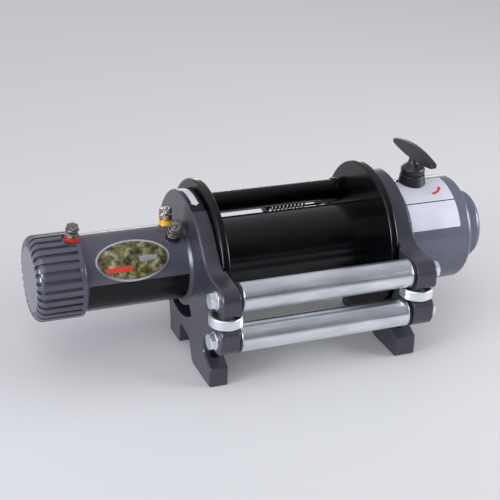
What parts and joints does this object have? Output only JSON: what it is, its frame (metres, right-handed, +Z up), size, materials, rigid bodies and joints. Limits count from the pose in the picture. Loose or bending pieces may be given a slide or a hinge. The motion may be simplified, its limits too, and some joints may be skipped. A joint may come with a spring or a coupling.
{
  "type": "electric drum winch with roller fairlead",
  "caption": "Foot-mounted electric winch: finned motor, free drum between two end castings, planetary gearbox with clutch handle, roller fairlead and sprung rope tensioner.",
  "frame": {"origin": "centre of the foot bolt rectangle on the mounting plane", "axes": "+X along the drum towards the gearbox, -Y where the rope leaves through the rollers, +Z up from the mounting plane"},
  "size_m": [0.6925, 0.3176, 0.2764],
  "materials": {
    "casting": "satin slate-grey paint",
    "motor_body": "satin slate-grey paint",
    "finned_cap": "satin dark grey paint",
    "gearbox": "satin slate-grey paint",
    "drum": "gloss black paint",
    "tensioner_black": "gloss black paint",
    "roller_zinc": "lengthwise brushed zinc plate",
    "bright_zinc": "bright zinc plate",
    "clutch_black": "satin charcoal",
    "insulator_red": "gloss",
    "insulator_yellow": "gloss",
    "insulator_black": "gloss",
    "terminal_steel": "dull plated steel",
    "bronze": "machined",
    "steel": "machined"
  },
  "bodies": {
    "frame": {"motor_end_casting": "casting", "gear_end_casting": "casting", "rear_tie_rod": "tensioner_black", "upper_roller_shaft": "bright_zinc", "lower_roller_shaft": "bright_zinc", "motor_side_guide_pin": "bright_zinc", "gear_side_guide_pin": "bright_zinc", "motor_housing": "motor_body", "motor_drive_end_plate": "steel", "field_poles": "steel", "brush_ring": "steel", "motor_end_cap": "finned_cap", "red_terminal_insulator": "insulator_red", "red_terminal_stud": "terminal_steel", "yellow_terminal_insulator": "insulator_yellow", "yellow_terminal_stud": "terminal_steel", "black_terminal_insulator": "insulator_black", "black_terminal_stud": "terminal_steel", "motor_side_bush": "bronze", "gear_side_bush": "bronze", "gearbox_housing": "gearbox", "gearbox_end_cap": "gearbox", "first_ring_gear": "steel", "clutch_ring_gear": "steel", "third_ring_gear": "steel", "clutch_socket": "clutch_black", "tensioner_shaft": "tensioner_black", "tensioner_spring": "tensioner_black"},
    "drum": {"drum_barrel": "drum", "drum_motor_flange": "drum", "drum_gear_flange": "drum", "third_carrier": "steel"},
    "motor_rotor": {"drive_shaft": "steel", "armature": "steel", "commutator": "bronze", "first_sun_gear": "steel"},
    "first_carrier_body": {"first_carrier": "steel"},
    "second_carrier_body": {"second_carrier": "steel"},
    "first_planet_a": {"first_planet_a": "steel"},
    "first_planet_b": {"first_planet_b": "steel"},
    "first_planet_c": {"first_planet_c": "steel"},
    "second_planet_a": {"second_planet_a": "steel"},
    "second_planet_b": {"second_planet_b": "steel"},
    "second_planet_c": {"second_planet_c": "steel"},
    "third_planet_a": {"third_planet_a": "steel"},
    "third_planet_b": {"third_planet_b": "steel"},
    "third_planet_c": {"third_planet_c": "steel"},
    "upper_roller": {"upper_roller": "roller_zinc"},
    "lower_roller": {"lower_roller": "roller_zinc"},
    "motor_side_guide_roller": {"motor_side_guide_roller": "bright_zinc"},
    "gear_side_guide_roller": {"gear_side_guide_roller": "bright_zinc"},
    "tensioner": {"motor_side_tensioner_arm": "tensioner_black", "gear_side_tensioner_arm": "tensioner_black", "press_roller_axle": "tensioner_black"},
    "press_roller_body": {"press_roller": "tensioner_black"},
    "clutch_pin": {"clutch_plunger": "bright_zinc"},
    "clutch_grip": {"clutch_handle": "clutch_black"}
  },
  "joints": [
    {"name": "drum_spin", "type": "hinge", "parent": "frame", "child": "drum", "pos_m": [0, 0.043, 0.138], "axis": [1, 0, 0], "continuous": true},
    {"name": "rotor_spin", "type": "hinge", "parent": "frame", "child": "motor_rotor", "pos_m": [-0.22, 0.043, 0.138], "axis": [1, 0, 0], "continuous": true},
    {"name": "first_carrier_spin", "type": "hinge", "parent": "frame", "child": "first_carrier_body", "pos_m": [0.226, 0.043, 0.138], "axis": [1, 0, 0], "continuous": true},
    {"name": "second_carrier_spin", "type": "hinge", "parent": "frame", "child": "second_carrier_body", "pos_m": [0.196, 0.043, 0.138], "axis": [1, 0, 0], "continuous": true},
    {"name": "first_planet_a_spin", "type": "hinge", "parent": "first_carrier_body", "child": "first_planet_a", "pos_m": [0.2445, 0.043, 0.1755], "axis": [1, 0, 0], "continuous": true},
    {"name": "first_planet_b_spin", "type": "hinge", "parent": "first_carrier_body", "child": "first_planet_b", "pos_m": [0.2445, 0.01052, 0.11925], "axis": [1, 0, 0], "continuous": true},
    {"name": "first_planet_c_spin", "type": "hinge", "parent": "first_carrier_body", "child": "first_planet_c", "pos_m": [0.2445, 0.07548, 0.11925], "axis": [1, 0, 0], "continuous": true},
    {"name": "second_planet_a_spin", "type": "hinge", "parent": "second_carrier_body", "child": "second_planet_a", "pos_m": [0.2145, 0.043, 0.1755], "axis": [1, 0, 0], "continuous": true},
    {"name": "second_planet_b_spin", "type": "hinge", "parent": "second_carrier_body", "child": "second_planet_b", "pos_m": [0.2145, 0.01052, 0.11925], "axis": [1, 0, 0], "continuous": true},
    {"name": "second_planet_c_spin", "type": "hinge", "parent": "second_carrier_body", "child": "second_planet_c", "pos_m": [0.2145, 0.07548, 0.11925], "axis": [1, 0, 0], "continuous": true},
    {"name": "third_planet_a_spin", "type": "hinge", "parent": "drum", "child": "third_planet_a", "pos_m": [0.1845, 0.043, 0.1755], "axis": [1, 0, 0], "continuous": true},
    {"name": "third_planet_b_spin", "type": "hinge", "parent": "drum", "child": "third_planet_b", "pos_m": [0.1845, 0.01052, 0.11925], "axis": [1, 0, 0], "continuous": true},
    {"name": "third_planet_c_spin", "type": "hinge", "parent": "drum", "child": "third_planet_c", "pos_m": [0.1845, 0.07548, 0.11925], "axis": [1, 0, 0], "continuous": true},
    {"name": "upper_roller_spin", "type": "hinge", "parent": "frame", "child": "upper_roller", "pos_m": [0, -0.111, 0.14775], "axis": [1, 0, 0], "continuous": true},
    {"name": "lower_roller_spin", "type": "hinge", "parent": "frame", "child": "lower_roller", "pos_m": [0, -0.111, 0.086], "axis": [1, 0, 0], "continuous": true},
    {"name": "motor_side_guide_roller_spin", "type": "hinge", "parent": "frame", "child": "motor_side_guide_roller", "pos_m": [-0.146, -0.111, 0.118], "axis": [0, 0, 1], "continuous": true},
    {"name": "gear_side_guide_roller_spin", "type": "hinge", "parent": "frame", "child": "gear_side_guide_roller", "pos_m": [0.146, -0.111, 0.118], "axis": [0, 0, 1], "continuous": true},
    {"name": "tensioner_swing", "type": "hinge", "parent": "frame", "child": "tensioner", "pos_m": [0, 0.16861, 0.15298], "axis": [1, 0, 0], "range_deg": [-25, 0], "stiffness_Nm_per_rad": 2, "springref_deg": 20.05},
    {"name": "press_roller_spin", "type": "hinge", "parent": "tensioner", "child": "press_roller_body", "pos_m": [0, 0.113, 0.19], "axis": [1, 0, 0], "continuous": true},
    {"name": "clutch_lift", "type": "slide", "parent": "frame", "child": "clutch_pin", "axis": [0, 0, 1], "range_m": [0, 0.008], "stiffness_N_per_m": 600, "springref_m": -0.01},
    {"name": "clutch_turn", "type": "hinge", "parent": "clutch_pin", "child": "clutch_grip", "pos_m": [0.21025, 0.043, 0.238], "axis": [0, 0, 1], "range_deg": [0, 90]}
  ],
  "couplings": [
    {"joint": "rotor_spin", "follows": "drum_spin", "ratio": 216},
    {"joint": "first_carrier_spin", "follows": "drum_spin", "ratio": 36},
    {"joint": "second_carrier_spin", "follows": "drum_spin", "ratio": 6},
    {"joint": "first_planet_a_spin", "follows": "drum_spin", "ratio": -90},
    {"joint": "first_planet_b_spin", "follows": "drum_spin", "ratio": -90},
    {"joint": "first_planet_c_spin", "follows": "drum_spin", "ratio": -90},
    {"joint": "second_planet_a_spin", "follows": "drum_spin", "ratio": -15},
    {"joint": "second_planet_b_spin", "follows": "drum_spin", "ratio": -15},
    {"joint": "second_planet_c_spin", "follows": "drum_spin", "ratio": -15},
    {"joint": "third_planet_a_spin", "follows": "drum_spin", "ratio": -2.5},
    {"joint": "third_planet_b_spin", "follows": "drum_spin", "ratio": -2.5},
    {"joint": "third_planet_c_spin", "follows": "drum_spin", "ratio": -2.5}
  ]
}
